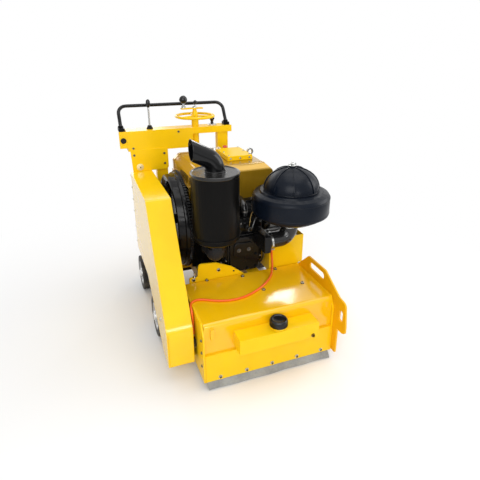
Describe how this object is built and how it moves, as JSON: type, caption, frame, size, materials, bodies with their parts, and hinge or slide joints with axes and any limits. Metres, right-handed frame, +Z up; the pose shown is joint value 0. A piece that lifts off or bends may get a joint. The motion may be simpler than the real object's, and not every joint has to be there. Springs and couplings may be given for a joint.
{
  "type": "walk-behind road milling machine",
  "caption": "Walk-behind road milling machine on small wheels: belt-driven toothed drum in a steel housing, open diesel engine, spray tank and console.",
  "frame": {"origin": "on the ground, under the middle of the machine's outline", "axes": "+Z up, -Y towards the milling end, +X towards the sliding side plate with the hand slots"},
  "size_m": [0.845, 1.107, 1.094],
  "materials": {
    "yellow_paint": "gloss",
    "gold_paint": "metallic gloss",
    "black_paint": "satin",
    "black_cast": "satin paint",
    "steel": "machined",
    "skirt_rubber": "matte",
    "hose_rubber": "satin",
    "black_rubber": "matte",
    "wheel": "tyre with a steel rim",
    "black_plastic": "matte"
  },
  "bodies": {
    "chassis": {"base_frame": "yellow_paint", "engine_bracket": "yellow_paint", "housing_left_plate": "yellow_paint", "housing_right_plate": "yellow_paint", "housing_rear_wall": "yellow_paint", "front_panel": "yellow_paint", "lid": "yellow_paint", "edge_plate_pins": "steel", "rubber_skirts": "skirt_rubber", "water_tank": "yellow_paint", "tank_cap": "black_plastic", "spray_valve": "black_paint", "spray_hose": "hose_rubber", "hose_fitting": "steel", "drum_bearings": "black_paint", "belt_guard": "yellow_paint", "drive_belts": "black_rubber", "crankcase": "black_cast", "cylinder_block": "black_cast", "cylinder_head": "black_cast", "head_cover": "black_cast", "exhaust_pipe": "black_paint", "muffler": "black_paint", "tail_pipe": "black_paint", "intake_manifold": "black_cast", "intake_elbow": "black_rubber", "air_cleaner": "black_paint", "fuel_tank": "gold_paint", "header_box": "yellow_paint", "filler_cap": "steel", "lifting_eye": "steel", "battery_box": "yellow_paint", "battery": "black_plastic", "front_axle": "black_paint", "rear_frame": "yellow_paint", "console": "yellow_paint", "console_side_panel": "yellow_paint", "depth_post": "yellow_paint", "handwheel": "yellow_paint", "lock_arm": "yellow_paint", "handlebar": "black_paint", "handlebar_clamps": "black_paint", "gear_lever": "steel", "throttle_lever": "black_plastic"},
    "drum_rotor": {"drum": "black_paint", "milling_bits": "steel", "drum_shaft": "steel", "drum_pulley": "black_paint"},
    "engine_rotor": {"flywheel": "black_cast", "engine_pulley": "black_paint"},
    "side_plate": {"edge_plate": "yellow_paint"},
    "rear_carriage": {"rear_axle": "black_paint"},
    "wheel_front_left": {"front_left_wheel": "wheel"},
    "wheel_front_right": {"front_right_wheel": "wheel"},
    "wheel_rear_left": {"rear_left_wheel": "wheel"},
    "wheel_rear_right": {"rear_right_wheel": "wheel"}
  },
  "joints": [
    {"name": "engine_spin", "type": "hinge", "parent": "chassis", "child": "engine_rotor", "pos_m": [0.0435, 0.1765, 0.52], "axis": [1, 0, 0], "continuous": true},
    {"name": "drum_spin", "type": "hinge", "parent": "chassis", "child": "drum_rotor", "pos_m": [0.0435, -0.2815, 0.158], "axis": [1, 0, 0], "continuous": true},
    {"name": "side_plate_lift", "type": "slide", "parent": "chassis", "child": "side_plate", "axis": [0, 0, 1], "range_m": [0, 0.06]},
    {"name": "depth_slide", "type": "slide", "parent": "chassis", "child": "rear_carriage", "axis": [0, 0, -1], "range_m": [0, 0.06]},
    {"name": "front_left_roll", "type": "hinge", "parent": "chassis", "child": "wheel_front_left", "pos_m": [-0.3515, -0.0135, 0.1], "axis": [1, 0, 0], "continuous": true},
    {"name": "front_right_roll", "type": "hinge", "parent": "chassis", "child": "wheel_front_right", "pos_m": [0.3735, -0.0135, 0.1], "axis": [1, 0, 0], "continuous": true},
    {"name": "rear_left_roll", "type": "hinge", "parent": "rear_carriage", "child": "wheel_rear_left", "pos_m": [-0.3515, 0.4465, 0.1], "axis": [1, 0, 0], "continuous": true},
    {"name": "rear_right_roll", "type": "hinge", "parent": "rear_carriage", "child": "wheel_rear_right", "pos_m": [0.3735, 0.4465, 0.1], "axis": [1, 0, 0], "continuous": true}
  ],
  "couplings": [
    {"joint": "drum_spin", "follows": "engine_spin", "ratio": 1.5682}
  ]
}
